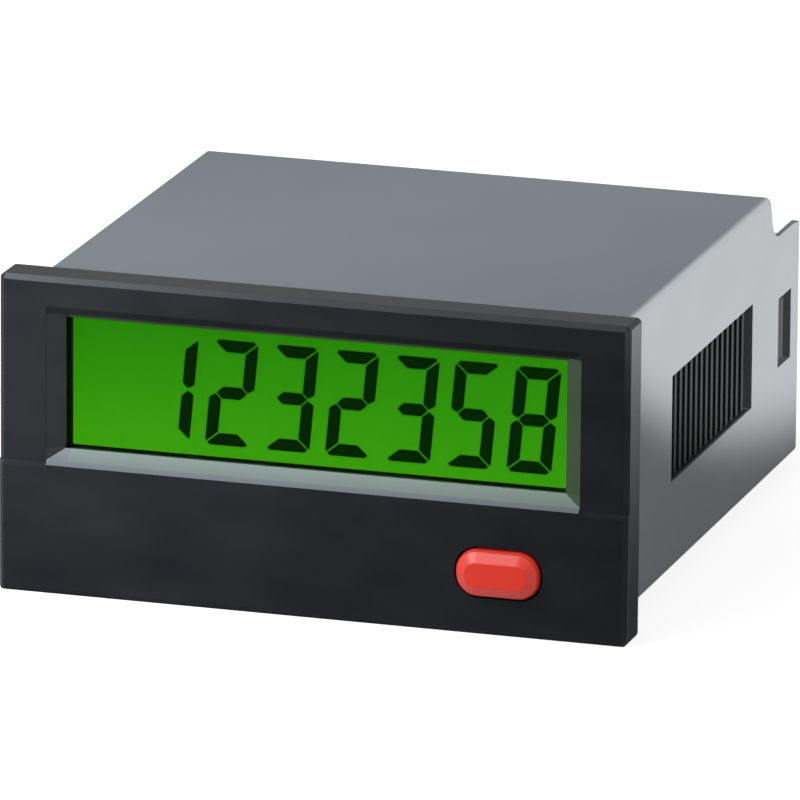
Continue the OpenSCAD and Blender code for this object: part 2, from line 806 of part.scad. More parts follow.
// Welded tabs: one from the top of the cell and one from below it
module battery_tabs() {
    ends = tab_ends();
    top = cell_bottom + cell_h + seat;
    bottom = cell_bottom - seat - tab_t;
    foot = board_bottom - tab_drop;
    color("#b9bcbe") {
        bar_y0 = battery_y - tab_w/2;
        bar_y1 = battery_y + tab_w/2;
        block([ends[0] - tab_t/2, bar_y0, top], [battery_x + tab_reach, bar_y1, top + tab_t]);
        block([ends[0] - tab_t/2, bar_y0, foot], [ends[0] + tab_t/2, bar_y1, top + eps]);
        block([battery_x + tab_reach, bar_y0, bottom], [ends[1] + tab_t/2, bar_y1, bottom + tab_t]);
        block([ends[1] - tab_t/2, bar_y0, foot], [ends[1] + tab_t/2, bar_y1, bottom + eps]);
    }
}

module microcontroller() {
    base = board_top + 0.15;
    pitch = chip_w/(chip_leads + 1);
    color("#1b1c1e")
    translate([chip_x, chip_y, base])
        difference() {
            translate([-chip_w/2, -chip_w/2, 0])
                cube([chip_w, chip_w, chip_t]);
            translate([-chip_w/2 + 1.1, -chip_w/2 + 1.1, chip_t - 0.1])
                cylinder(d = 0.8, h = 1);
        }
    color("#c4c6c8")
    translate([chip_x, chip_y, 0])
        for (turn = [0:90:270], i = [1:chip_leads])
            rotate([0, 0, turn])
                translate([-chip_w/2 + i*pitch - lead_w/2, chip_w/2 - eps, 0]) {
                    translate([0, 0, base + chip_t/3])
                        cube([lead_w, lead_l/2, lead_t]);
                    translate([0, lead_l/2 - lead_t, board_top + seat])
                        cube([lead_w, lead_t, base + chip_t/3 + lead_t - board_top - seat]);
                    translate([0, lead_l/2 - lead_t, board_top + seat])
                        cube([lead_w, lead_l/2 + lead_t, lead_t]);
                }
}

module crystal() {
    color("#bfc2c4")
    translate([chip_x - crystal_l/2, crystal_y, board_top + crystal_d/2 + seat])
        rotate([0, 90, 0])
            cylinder(d = crystal_d, h = crystal_l);
    color("#bfc2c4")
    for (y = [-0.4, 0.4])
        translate([chip_x + crystal_l/2 - eps, crystal_y + y, board_top + crystal_d/2 + seat])
            rotate([0, 90, 0])
                cylinder(d = 0.3, h = 1.6);
}

module filter_capacitors() {
    base_h = 0.8;
    can_r = capacitor_d/2 - 0.1;
    groove = 0.3;
    color("#9aa0a6")
    for (k = [0, 1])
        translate([capacitor_x, capacitor_y - k*capacitor_step, board_top + seat]) {
            translate([-capacitor_d/2, -capacitor_d/2, 0])
                cube([capacitor_d, capacitor_d, base_h]);
            translate([0, 0, base_h - eps])
                rotate_extrude()
                    polygon([[0, 0], [can_r, 0], [can_r, base_h], [can_r - groove, base_h + groove],
                             [can_r, base_h + 2*groove], [can_r, capacitor_h - base_h - groove],
                             [can_r - groove, capacitor_h - base_h], [0, capacitor_h - base_h]]);
        }
}

// Two optocouplers on the underside of the board
module optocouplers() {
    for (k = [0, 1])
        translate([opto_x + k*opto_pitch, opto_y, board_bottom])
        mirror([0, 0, 1]) {
            color("#202224")
            bar(-opto_w/2 + 0.1, opto_w/2 - 0.1)
                polygon([[-opto_l/2 + 1, opto_lift], [opto_l/2 - 1, opto_lift], [opto_l/2 - 0.8, opto_h/2],
                         [opto_l/2 - 1, opto_h], [-opto_l/2 + 1, opto_h], [-opto_l/2 + 0.8, opto_h/2]]);
            color("#c4c6c8")
            for (px = [-1.27, 1.27], side = [-1, 1]) {
                block([px - 0.3, side > 0 ? opto_l/2 - 1.2 : -opto_l/2, opto_h/2 - 0.1],
                      [px + 0.3, side > 0 ? opto_l/2 : -opto_l/2 + 1.2, opto_h/2 + 0.15]);
                block([px - 0.3, side > 0 ? opto_l/2 - 0.25 : -opto_l/2, seat],
                      [px + 0.3, side > 0 ? opto_l/2 : -opto_l/2 + 0.25, opto_h/2]);
            }
        }
}

module chip_resistors() {
    color("#2c2c2e")
    for (col = [0:2], row = [0, 1])
        translate([resistor_x + col*resistor_pitch, resistor_y + row*(resistor_l + resistor_gap),
                   board_bottom - seat - resistor_t])
            cube([resistor_w, resistor_l, resistor_t]);
}

// Moulded body with a cavity, a wire entry and a screw well for each pole
module terminal_block() {
    groove = 0.3;
    cavity_w = cage_w + 0.3;
    cavity_y0 = pole_y - cage_d/2 - clear;
    cavity_y1 = pole_y + cage_d/2 + clear;
    color("#3b4045")
    difference() {
        bar(-block_w/2, block_w/2)
            polygon([[block_front, board_top + seat], [block_back, board_top + seat],
                     [block_back, block_top - 0.9], [block_back - 0.9, block_top],
                     [block_front, block_top]]);
        for (i = [0:poles - 1])
            translate([pole_x(i), 0, 0]) {
                block([-cavity_w/2, cavity_y0, board_top - 1],
                      [cavity_w/2, cavity_y1, cage_bottom + cage_h + 0.2]);
                block([-cavity_w/2 + 0.3, pin_y - 1, board_top - 1],
                      [cavity_w/2 - 0.3, cavity_y0 + eps, tongue_top + 0.3]);
                translate([0, pole_y, cage_bottom])
                    cylinder(d = well_d, h = block_h + 1);
                translate([0, block_back + 1, wire_z])
                    rotate([90, 0, 0])
                        cylinder(d = wire_d, h = block_back + 1 - cavity_y1 + eps);
            }
        for (i = [0:poles])
            translate([(i - poles/2)*pole_pitch, 0, 0]) {
                block([-groove/2, block_back - groove, board_top - 1],
                      [groove/2, block_back + 1, block_top + 1]);
                block([-groove/2, block_front - 1, block_top - groove],
                      [groove/2, block_back + 1, block_top + 1]);
            }
    }
}

// Lift cages that draw the wire up against the tongue
module terminal_cages() {
    color("#b8bbbd")
    for (i = [0:poles - 1])
        translate([pole_x(i), pole_y, cage_bottom])
            difference() {
                translate([-cage_w/2, -cage_d/2, 0])
                    cube([cage_w, cage_d, cage_h]);
                translate([-cage_w/2 + cage_t, -cage_d, cage_t])
                    cube([cage_w - 2*cage_t, 2*cage_d, cage_window_h]);
                cylinder(d = screw_d + 0.1, h = cage_h + 1);
                translate([0, 0, -1])
                    cylinder(d = 0.01 + screw_d*0.4, h = 1.5);
            }
}

module terminal_screws() {
    slot_w = 0.6;
    color("#c6c8c9")
    for (i = [0:poles - 1])
        translate([pole_x(i), pole_y, screw_tip])
            difference() {
                union() {
                    cylinder(d = screw_d, h = screw_l + eps);
                    translate([0, 0, screw_l])
                        cylinder(d = screw_head_d, h = screw_head_h);
                }
                translate([-screw_head_d, -slot_w/2, screw_l + screw_head_h - 0.7])
                    cube([2*screw_head_d, slot_w, 2]);
            }
}

// Solder pins with a tongue that reaches through the cage
module terminal_pins() {
    tongue_w = 2.4;
    color("#b8a15a")
    for (i = [0:poles - 1])
        translate([pole_x(i), 0, 0]) {
            block([-tongue_w/2, pin_y - pin_tail_t/2, tongue_top - tongue_t],
                  [tongue_w/2, pole_y + cage_d/2 - 0.3, tongue_top]);
            block([-tongue_w/2, pin_y - pin_tail_t/2, board_top + 0.6],
                  [tongue_w/2, pin_y + pin_tail_t/2, tongue_top - eps]);
            block([-pin_tail_w/2, pin_y - pin_tail_t/2, board_bottom - pin_length + 1],
                  [pin_tail_w/2, pin_y + pin_tail_t/2, board_top + 0.6 + eps]);
        }
}

// Frame that closes the rear round the terminal block and latches in the side walls
module rear_cover() {
    low = -inner_h/2 + clear;
    high = inner_h/2 - clear;
    arm_low = latch_z - latch_window_h/2 + latch_gap;
    arm_high = latch_z + latch_window_h/2 - latch_gap;
    plate_front = cover_back - cover_t;
    nose_y = latch_y - latch_window_l/2 + latch_gap;
    color("#33383c")
    union() {
        block([-arm_outer, plate_front, low], [arm_outer, cover_back, board_top - 2*clear]);
        block([-arm_outer, beam_front, block_top + clear], [arm_outer, block_front, high]);
        for (side = [-1, 1]) {
            x0 = side > 0 ? arm_inner : -arm_outer;
            x1 = side > 0 ? arm_outer : -arm_inner;
            block([x0, plate_front, low], [x1, cover_back, arm_high]);
            block([x0, beam_front, arm_low], [x1, cover_back, arm_high]);
            block([x0, beam_front, arm_low], [x1, block_front, high]);
            layer(arm_low + latch_gap, arm_high - latch_gap)
                polygon([[side*(arm_outer - eps), nose_y], [side*(arm_outer + 0.15), nose_y],
                         [side*(arm_outer + nose_reach), nose_y + nose_l*0.8],
                         [side*(arm_outer + nose_reach), nose_y + nose_l],
                         [side*(arm_outer - eps), nose_y + nose_l]]);
        }
        for (x = [-1, 0, 1])
            block([x*block_w/3 - 0.5, plate_front - 2, low], [x*block_w/3 + 0.5, plate_front + eps, low + 2]);
    }
}

front_bezel();
display_window();
display_gasket();
lcd_front_glass();
lcd_segments();
lcd_rear_glass();
light_guide();
backlight_leds();
contact_strip();
display_board();
reset_button();
switch_body();
switch_plunger();
board_connector();
housing();
main_board();
battery_cell();
battery_tabs();
microcontroller();
crystal();
filter_capacitors();
optocouplers();
chip_resistors();
terminal_block();
terminal_cages();
terminal_screws();
terminal_pins();
rear_cover();
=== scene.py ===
"""Dresses the panel counter: finishes for every moulding, glass, board and metal piece, the
solder under the main board, and a pale studio seen from the photograph's angle."""

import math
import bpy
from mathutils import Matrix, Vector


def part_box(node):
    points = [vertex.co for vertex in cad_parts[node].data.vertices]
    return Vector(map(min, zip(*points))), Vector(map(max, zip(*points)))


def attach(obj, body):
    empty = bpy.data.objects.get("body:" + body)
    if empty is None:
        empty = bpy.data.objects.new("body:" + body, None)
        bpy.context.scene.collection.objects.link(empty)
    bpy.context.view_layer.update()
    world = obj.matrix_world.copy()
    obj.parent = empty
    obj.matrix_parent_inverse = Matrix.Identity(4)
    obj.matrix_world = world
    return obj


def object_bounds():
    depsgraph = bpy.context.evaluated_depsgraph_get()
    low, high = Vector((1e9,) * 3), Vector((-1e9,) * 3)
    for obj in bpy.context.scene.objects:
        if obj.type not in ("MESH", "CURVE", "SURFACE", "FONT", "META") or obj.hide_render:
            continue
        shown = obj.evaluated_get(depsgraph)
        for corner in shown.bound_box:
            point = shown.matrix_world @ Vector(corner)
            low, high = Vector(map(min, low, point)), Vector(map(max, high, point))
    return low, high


bl_info = {
    "name": "Panel counter finishes",
    "version": (1, 0, 0),
    "blender": (4, 5, 0),
    "location": "View3D > Sidebar > Counter",
    "description": "Finishes, solder and studio for a small panel counter with a lit display",
    "category": "Object",
}

import bpy
import numpy as np
from bpy.props import FloatProperty, FloatVectorProperty, PointerProperty
from mathutils import Matrix, Vector

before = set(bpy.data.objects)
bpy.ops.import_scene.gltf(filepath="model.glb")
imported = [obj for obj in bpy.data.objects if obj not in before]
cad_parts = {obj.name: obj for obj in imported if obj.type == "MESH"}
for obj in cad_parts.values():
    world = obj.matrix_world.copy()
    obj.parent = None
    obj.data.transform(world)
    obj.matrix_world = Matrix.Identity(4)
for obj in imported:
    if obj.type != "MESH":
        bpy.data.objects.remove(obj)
CAD_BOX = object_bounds()

MM = 0.001
BLACK = (0.0, 0.0, 0.0)
WHITE = (1.0, 1.0, 1.0)

# The camera's film in millimetres, and the photograph's width and focal length in pixels
FILM_WIDTH = 36
PHOTO_WIDTH = 800
FOCAL_LENGTH = 12557


def tone(red, green, blue):
    """A display colour in 0 to 255 as linear light: with c from 0 to 1 it is c / 12.92 for the
    darkest, and ((c + 0.055) / 1.055) to the power 2.4 for the others."""
    parts = np.array([red, green, blue]) / 255.0
    linear = np.where(parts <= 0.04045, parts / 12.92, ((parts + 0.055) / 1.055) ** 2.4)
    return tuple(float(value) for value in linear)


# Values that a user may change

def colour(name, words, value):
    """A colour setting with its name, description and default."""
    return FloatVectorProperty(name=name, description=words, subtype="COLOR", size=3,
                               min=0.0, max=1.0, default=value)


def length(name, words, value, lowest=0.0):
    """A length setting in metres."""
    return FloatProperty(name=name, description=words, unit="LENGTH", subtype="DISTANCE",
                         min=lowest, precision=6, default=value)


def factor(name, words, value, top=1.0):
    """A plain number setting."""
    return FloatProperty(name=name, description=words, min=0.0, max=top, default=value)


def angle(name, words, degrees):
    """An angle setting, given in degrees and kept in radians."""
    return FloatProperty(name=name, description=words, unit="ROTATION", subtype="ANGLE",
                         default=math.radians(degrees))


def power(name, words, watts):
    """The power of a lamp in watts."""
    return FloatProperty(name=name, description=words, unit="POWER", min=0.0, max=100.0,
                         default=watts)


class CounterMouldings(bpy.types.PropertyGroup):
    """Plastics of the bezel, the sleeve, the cover and the button."""

    bezel: colour("Bezel", "Dark plastic of the front frame", tone(20, 23, 27))
    sleeve: colour("Sleeve", "Mid grey plastic of the housing", tone(122, 127, 131))
    cover: colour("Rear cover", "Dark plastic of the cover and the terminal block",
                  tone(50, 52, 55))
    button: colour("Button", "Red plastic of the reset button", tone(246, 64, 45))
    grain: length("Grain", "Size of one bump of the moulded texture", 0.16 * MM)
    grain_depth: length("Grain depth", "Height of the moulded texture", 0.006 * MM)


class CounterDisplay(bpy.types.PropertyGroup):
    """Light and layers of the liquid crystal display."""

    top: colour("Upper light", "Backlight at the top of the window", tone(33, 125, 3))
    middle: colour("Middle light", "Backlight at the middle of the window", tone(46, 145, 4))
    bottom: colour("Lower light", "Backlight at the bottom of the window", tone(60, 160, 8))
    segments: colour("Segments", "Dark segments of the digits", tone(2, 34, 0))
    glow: factor("Glow", "Strength of the backlight", 1.0, 4.0)


class CounterBoards(bpy.types.PropertyGroup):
    """Boards, packages and metals inside the sleeve and at the terminals."""

    mask: colour("Solder mask", "Green lacquer of the boards", tone(22, 92, 52))
    track: colour("Tracks", "Copper tracks under the lacquer", tone(46, 128, 74))
    package: colour("Packages", "Black plastic of chips and headers", tone(36, 37, 39))
    tin: colour("Tin", "Tinned leads and solder", tone(198, 199, 198))
    steel: colour("Steel", "Plated steel of the cell, tabs, cages and screws",
                  tone(196, 198, 200))
    brass: colour("Brass", "Tongues and pins of the terminals", tone(186, 164, 108))
    solder_reach: length("Solder reach", "Radius of a solder joint on the board", 1.15 * MM)
    solder_height: length("Solder height", "Height of a solder joint along its pin", 0.8 * MM)


class CounterStudio(bpy.types.PropertyGroup):
    """Camera and light."""

    azimuth: angle("Azimuth", "Turn of the camera to the right of the front", 17.13)
    elevation: angle("Elevation", "Rise of the camera above the horizon", 15.34)
    roll: angle("Roll", "Turn of the picture about the line of sight", 0.44)
    distance: length("Distance", "From the aim point to the camera", 934 * MM)
    aim_right: length("Aim right", "Sideways shift of the camera", -0.36 * MM, -1.0)
    aim_up: length("Aim up", "Upwards shift of the camera", -1.40 * MM, -1.0)
    lens: FloatProperty(name="Lens", description="Focal length for a 36 mm film", unit="CAMERA",
                        min=1.0, default=FOCAL_LENGTH * FILM_WIDTH / PHOTO_WIDTH)
    ambient: factor("Ambient", "Light that comes from all round", 0.13, 4.0)
    overhead: power("Overhead", "Power of the overhead softbox", 1.5)
    side: power("Side", "Power of the lamp at the right", 28.0)
    rear: power("Rear", "Power of the softbox behind that the upper edges mirror", 0.3)
    fill: power("Fill", "Power of the softbox at the right", 1.3)
    face: power("Face", "Power of the softbox in front", 1.9)
    front: power("Front", "Power of the lamp in front at the upper left", 9.0)


# Shader maths

class Signal:
    """A shader socket that takes part in sums: each operator adds one Math node to its bench."""

    def __init__(self, bench, socket):
        self.bench = bench
        self.socket = socket

    def _with(self, operation, *others):
        node = self.bench.add("ShaderNodeMath", {"operation": operation})
        for port, value in zip(node.inputs, (self, *others)):
            self.bench.feed(port, value)
        return Signal(self.bench, node.outputs[0])

    def _after(self, operation, other):
        node = self.bench.add("ShaderNodeMath", {"operation": operation})
        self.bench.feed(node.inputs[0], other)
        self.bench.feed(node.inputs[1], self)
        return Signal(self.bench, node.outputs[0])

    def __add__(self, other):
        return self._with("ADD", other)

    def __radd__(self, other):
        return self._after("ADD", other)

    def __sub__(self, other):
        return self._with("SUBTRACT", other)

    def __rsub__(self, other):
        return self._after("SUBTRACT", other)

    def __mul__(self, other):
        return self._with("MULTIPLY", other)

    def __rmul__(self, other):
        return self._after("MULTIPLY", other)

    def __truediv__(self, other):
        return self._with("DIVIDE", other)

    def __rtruediv__(self, other):
        return self._after("DIVIDE", other)

    def __abs__(self):
        return self._with("ABSOLUTE")

    def __gt__(self, other):
        return self._with("GREATER_THAN", other)

    def __lt__(self, other):
        return self._with("LESS_THAN", other)

    def larger(self, other):
        """The larger of the two."""
        return self._with("MAXIMUM", other)

    def smaller(self, other):
        """The smaller of the two."""
        return self._with("MINIMUM", other)

    def held(self):
        """The value kept between 0 and 1."""
        return self.larger(0.0).smaller(1.0)

    def between(self, low, high):
        """1 where the value lies between low and high, and 0 elsewhere."""
        return (self > low) * (self < high)


class Bench:
    """A node tree, with one method that adds every kind of node."""

    def __init__(self, tree):
        self.tree = tree
        self.tree.nodes.clear()
        self.place = None

    def add(self, kind, settings=None, inputs=None):
        """A node of this kind: its settings come first, then the values or links of its
        sockets."""
        node = self.tree.nodes.new(kind)
        for key, value in (settings or {}).items():
            if key == "stops":
                band = node.color_ramp
                while len(band.elements) < len(value):
                    band.elements.new(0.5)
                for stop, (where, shade) in zip(band.elements, value):
                    stop.position = where
                    stop.color = (*shade, 1.0)
            else:
                setattr(node, key, value)
        for key, value in (inputs or {}).items():
            self.feed(node.inputs[key], value)
        return node

    def feed(self, port, value):
        """Links a signal or socket to the port, or sets the port to a number or colour."""
        if isinstance(value, Signal):
            self.tree.links.new(value.socket, port)
        elif isinstance(value, bpy.types.NodeSocket):
            self.tree.links.new(value, port)
        elif hasattr(value, "__len__") and len(value) == 3 and port.type == "RGBA":
            port.default_value = (*value, 1.0)
        else:
            port.default_value = value

    def where(self):
        """The object's own coordinates."""
        if self.place is None:
            self.place = self.add("ShaderNodeTexCoord").outputs["Object"]
        return self.place

    def xyz(self):
        """The three coordinates as signals, in metres."""
        split = self.add("ShaderNodeSeparateXYZ", inputs={"Vector": self.where()})
        return [Signal(self, port) for port in split.outputs]

    def noise(self, size, detail=2.0, stretch=(1, 1, 1)):
        """Cloudy noise whose features are about size metres across."""
        placed = self.add("ShaderNodeMapping", {}, {"Vector": self.where(), "Scale": stretch})
        node = self.add("ShaderNodeTexNoise", {},
                        {"Vector": placed.outputs[0], "Scale": 1.0 / size, "Detail": detail,
                         "Roughness": 0.55})
        return Signal(self, node.outputs["Fac"])

    def blend(self, amount, first, second):
        """The colour that goes from first to second as amount goes from 0 to 1."""
        node = self.add("ShaderNodeMix", {"data_type": "RGBA"})
        self.feed(node.inputs["Factor"], amount)
        self.feed(node.inputs["A"], first)
        self.feed(node.inputs["B"], second)
        return node.outputs["Result"]


class Finish(Bench):
    """The node tree of one material, with its main shader."""

    def __init__(self, name):
        self.material = bpy.data.materials.new(name)
        self.material.use_nodes = True
        super().__init__(self.material.node_tree)
        self.shader = self.add("ShaderNodeBsdfPrincipled")
        self.add("ShaderNodeOutputMaterial", {}, {"Surface": self.shader.outputs[0]})

    def set(self, **values):
        """Sets sockets of the main shader, such as Base_Color or Roughness."""
        for key, value in values.items():
            self.feed(self.shader.inputs[key.replace("_", " ")], value)

    def relief(self, height, depth):
        """A bump of this depth in metres that feeds the shader's normal."""
        node = self.add("ShaderNodeBump", {},
                        {"Strength": 1.0, "Distance": depth, "Height": height})
        self.set(Normal=node.outputs[0])


def lighter(shade, amount):
    """The colour moved by amount towards white, or towards black where amount is negative."""
    target = 1.0 if amount > 0 else 0.0
    return tuple(value + (target - value) * abs(amount) for value in shade)


# Finishes

def moulded(name, shade, rough=0.5, gloss=0.3, grain=0.16 * MM, depth=0.006 * MM, mottle=0.05,
            polished=None, painted_shade=None, glow=None, painted_halo=BLACK):
    """Injection moulded plastic: a fine spark-eroded grain, faint flow marks and an even sheen.
    Where the signal that polished returns is 1, the surface has the gloss of polished steel, and
    where the one that dusk returns is 1, painted shade makes the base colour as dark as the
    shaded inside of a grille. Where the one that glow returns is 1, the halo colour is painted on
    as
    emission: a painted glow, as if from a lit piece next to the surface."""
    finish = Finish(name)
    flow = finish.noise(9 * MM, detail=3.0, stretch=(1.0, 1.0, 2.2))
    fine = finish.noise(grain, detail=3.0)
    face = finish.blend(flow, lighter(shade, -mottle), lighter(shade, mottle * 0.4))
    if painted_shade:
        # Painted shade: the base colour goes much darker where dusk returns 1
        face = finish.blend(painted_shade(finish), face, lighter(shade, -0.85))
    finish.set(Base_Color=face, Roughness=rough - 0.06 + fine * 0.12, Specular_IOR_Level=gloss)
    if polished:
        finish.set(Coat_Weight=polished(finish), Coat_Roughness=0.16)
    if glow:
        # Painted glow: the halo colour shines as emission where glow returns 1
        finish.set(Emission_Color=finish.blend(glow(finish), BLACK, painted_halo), Emission_Strength=1.0)
    finish.relief(fine, depth)
    return finish.material


def foam(name, shade):
    """Closed-cell foam: soft cells of a quarter of a millimetre with no shine, each with painted
    shade that darkens it towards its hollow.
    """
    finish = Finish(name)
    cell = 0.25 * MM
    cells = finish.add("ShaderNodeTexVoronoi", {"feature": "F1"},
                       {"Vector": finish.where(), "Scale": 1 / cell})
    hollow = Signal(finish, cells.outputs["Distance"])
    # Painted shade: the colour darkens towards the hollow of each cell
    finish.set(Base_Color=finish.blend(hollow, lighter(shade, -0.4), shade), Roughness=0.9,
               Specular_IOR_Level=0.1)
    finish.relief(hollow, 0.03 * MM)
    return finish.material


def clear(name, tint, index, rough=0.0):
    """Clear glass or acrylic with very faint waves in its surface."""
    finish = Finish(name)
    swirl = finish.noise(6 * MM)
    finish.set(Base_Color=finish.blend(swirl, lighter(tint, -0.01), tint), Roughness=rough,
               Transmission_Weight=1.0, IOR=index)
    finish.relief(swirl, 0.001 * MM)
    return finish.material


def lit_guide(name, look, low, high):
    """Green light guide: the light grows from the top of the window to its foot, is a little
    uneven, and comes nearer to its middle tone towards the right."""
    finish = Finish(name)
    width = 40 * MM
    x, _, z = finish.xyz()
    rise = ((z - low) / (high - low)).held()
    across = (x / width + 0.5).held()
    uneven = finish.noise(7 * MM) * 0.1 - 0.05
    stops = [(0.0, look.bottom), (0.5, look.middle), (1.0, look.top)]
    ramp = finish.add("ShaderNodeValToRGB", {"stops": stops}, {"Fac": (rise + uneven).held()})
    glow = finish.blend(across * 0.5, ramp.outputs["Color"], look.middle)
    finish.set(Base_Color=(0.004, 0.02, 0.001), Roughness=0.5, Specular_IOR_Level=0.0,
               Emission_Color=glow, Emission_Strength=look.glow)
    return finish.material


def segment_film(name, shade):
    """Dark liquid crystal, through which a trace of the backlight passes."""
    finish = Finish(name)
    film = finish.noise(0.5 * MM)
    finish.set(Base_Color=(0.002, 0.004, 0.002), Roughness=0.7, Specular_IOR_Level=0.0,
               Emission_Color=finish.blend(film, lighter(shade, -0.15), shade),
               Emission_Strength=1.0)
    return finish.material


def glossy_plastic(name, shade, polished):
    """Satin plastic with a fine grain, and with a gloss where the signal that polished returns
    is 1."""
    finish = Finish(name)
    fine = finish.noise(0.11 * MM, detail=3.0)
    cloud = finish.noise(2.5 * MM)
    finish.set(Base_Color=finish.blend(cloud, lighter(shade, -0.06), shade),
               Roughness=0.38 + fine * 0.1, Specular_IOR_Level=0.22,
               Coat_Weight=polished(finish), Coat_Roughness=0.3)
    finish.relief(fine, 0.003 * MM)
    return finish.material


def plated(name, shade, rough=0.3, stretch=(1, 1, 1), dull=0.12):
    """Plated metal: cloudy dull patches and fine drawn streaks, which run at right angles to the
    axis whose number in stretch is above 1."""
    finish = Finish(name)
    streak = finish.noise(0.3 * MM, detail=4.0, stretch=stretch)
    cloud = finish.noise(1.8 * MM, detail=3.0)
    finish.set(Base_Color=finish.blend(cloud, lighter(shade, -dull), shade), Metallic=1.0,
               Roughness=rough - 0.08 + streak * 0.16 + cloud * 0.06)
    finish.relief(streak, 0.004 * MM)
    return finish.material


def lacquered_board(name, mask, track):
    """Circuit board: green lacquer over raised tracks that run in two directions."""
    finish = Finish(name)
    pitch, track_width, track_length = 1.27 * MM, 0.16 * MM, 6.2 * MM
    lanes = finish.add("ShaderNodeTexBrick", {"offset": 0.5, "squash": 1.0},
                       {"Vector": finish.where(), "Scale": 1.0, "Mortar Size": track_width,
                        "Mortar Smooth": 0.1, "Brick Width": track_length, "Row Height": pitch,
                        "Color1": BLACK, "Color2": BLACK, "Mortar": WHITE})
    copper = Signal(finish, lanes.outputs["Fac"])
    weave = finish.noise(0.35 * MM)
    finish.set(Base_Color=finish.blend((copper * 0.8 + weave * 0.15).held(), mask, track),
               Roughness=0.3 + weave * 0.12, Specular_IOR_Level=0.5)
    finish.relief(copper + weave * 0.2, 0.02 * MM)
    return finish.material


def package(name, body, lead, inside):
    """Moulded package with bare metal leads: inside is a signal that is 1 within the body."""
    finish = Finish(name)
    mask = inside(finish)
    fine = finish.noise(0.09 * MM, detail=3.0)
    finish.set(Base_Color=finish.blend(mask, lead, body), Metallic=(1.0 - mask).held(),
               Roughness=0.34 + mask * 0.24 + fine * 0.06, Specular_IOR_Level=0.4)
    finish.relief(fine, 0.004 * MM)
    return finish.material


# Pieces

def dress(node, material):
    """Gives a CAD node its finish in every slot."""
    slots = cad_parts[node].material_slots
    if not slots:
        raise RuntimeError("node %s has no material slot" % node)
    for slot in slots:
        slot.material = material


def solder_joints(spots, level, reach, core, height, sides=24, rings=8):
    """Points and faces of the solder joints under a board, one at each x, y of spots. At share t
    of its height a joint has the radius core + (reach - core) * (1 - t) ** 2, with core round
    its pin."""
    turns = np.linspace(0.0, 2.0 * np.pi, sides, endpoint=False)
    steps = np.linspace(0.0, 1.0, rings)[:, None]
    radius = core + (reach - core) * (1.0 - steps) ** 2
    depth = np.broadcast_to(level - height * steps, (rings, sides))
    joint = np.stack([radius * np.cos(turns), radius * np.sin(turns), depth], axis=-1)
    shifts = np.pad(np.array(spots), ((0, 0), (0, 1)))
    points = (joint[None] + shifts[:, None, None]).reshape(-1, 3)
    here = np.arange(len(points)).reshape(len(spots), rings, sides)
    ahead = np.roll(here, -1, axis=2)
    faces = np.stack([here[:, :-1], here[:, 1:], ahead[:, 1:], ahead[:, :-1]], axis=-1)
    return points, faces.reshape(-1, 4)


def mesh_object(name, points, faces, body, material):
    """Puts arrays of points and faces into a smooth mesh that rides on a body."""
    mesh = bpy.data.meshes.new(name)
    mesh.from_pydata(points.tolist(), [], faces.tolist())
    mesh.polygons.foreach_set("use_smooth", np.ones(len(mesh.polygons), dtype=bool))
    mesh.update()
    piece = bpy.data.objects.new(name, mesh)
    bpy.context.scene.collection.objects.link(piece)
    mesh.materials.append(material)
    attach(piece, body)


class COUNTER_OT_bezel(bpy.types.Operator):
    """Finish the dark front frame"""

    bl_idname = "counter.bezel"
    bl_label = "Bezel"

    def execute(self, context):
        look = context.scene.counter_mouldings
        low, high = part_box("front_bezel")
        front, side, foot, top = low[1], high[0], low[2], high[2]
        skin = 0.02 * MM
        behind_face = front + 0.01 * MM
        chamfer, chamfer_end = 0.38 * MM, front + 0.64 * MM
        corner_gloss, rim_gloss, top_gloss, flank_gloss = 0.2, 0.95, 0.3, 1.2

        window_low, window_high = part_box("display_window")
        slope_width, slope_start, slope_end = 1.15 * MM, front + 0.28 * MM, front + 1.3 * MM
        slope_foot, slope_head = window_low[2] - 0.4 * MM, window_high[2] - 0.1 * MM
        slope_gloss = 0.6
        unlit_width = 1.0 * MM
        sill_level, sill_width, sill_height = window_low[2] - 0.5 * MM, 0.62 * MM, 1.15 * MM
        sill_foot, sill_head = sill_level - 0.3 * MM, sill_level + 1.2 * MM
        sill_gloss, sill_gain = 0.7, 0.35

        def recess(bench):
            """1 on the slopes round the window."""
            x, y, z = bench.xyz()
            return ((abs(x) < window_high[0] + slope_width) * y.between(slope_start, slope_end)
                    * z.between(slope_foot, slope_head))

        def lit(bench):
            """1 on the slopes that get the painted glow of the display as emission, which is all
            but the left one.
            """
            x, _, _ = bench.xyz()
            return recess(bench) * (x > window_low[0] + unlit_width)

        def sill(bench):
            """The gloss of the slope under the window, which grows upwards."""
            x, y, z = bench.xyz()
            zone = ((abs(x) < window_high[0] + sill_width) * y.between(behind_face, slope_end)
                    * z.between(sill_foot, sill_head))
            return zone * (sill_gloss + ((z - sill_level) / sill_height).held() * sill_gain)

        def polished(bench):
            """The gloss of the slopes, the sides, the top and the chamfer round the front."""
            x, y, z = bench.xyz()
            rise = ((z - foot) / (top - foot)).held()
            flank = (abs(x) > side - skin) * rise * rise * flank_gloss
            upper = (z > top - skin) * top_gloss
            corner = abs(x) > side - chamfer
            rim = (corner * corner_gloss).larger((z > top - chamfer) * (rim_gloss - corner))
            rim = rim * y.between(behind_face, chamfer_end)
            slopes = (recess(bench) * slope_gloss).larger(sill(bench))
            return slopes.larger(flank).larger(upper).larger(rim)

        # Painted glow: the faint green halo is emission painted on the slopes round the window,
        # all but the left one
        dress("front_bezel", moulded("bezel_plastic", look.bezel, rough=0.5, gloss=0.04,
                                     grain=look.grain, depth=look.grain_depth,
                                     polished=polished, glow=lit, painted_halo=(0.015, 0.045, 0.0)))
        return {"FINISHED"}


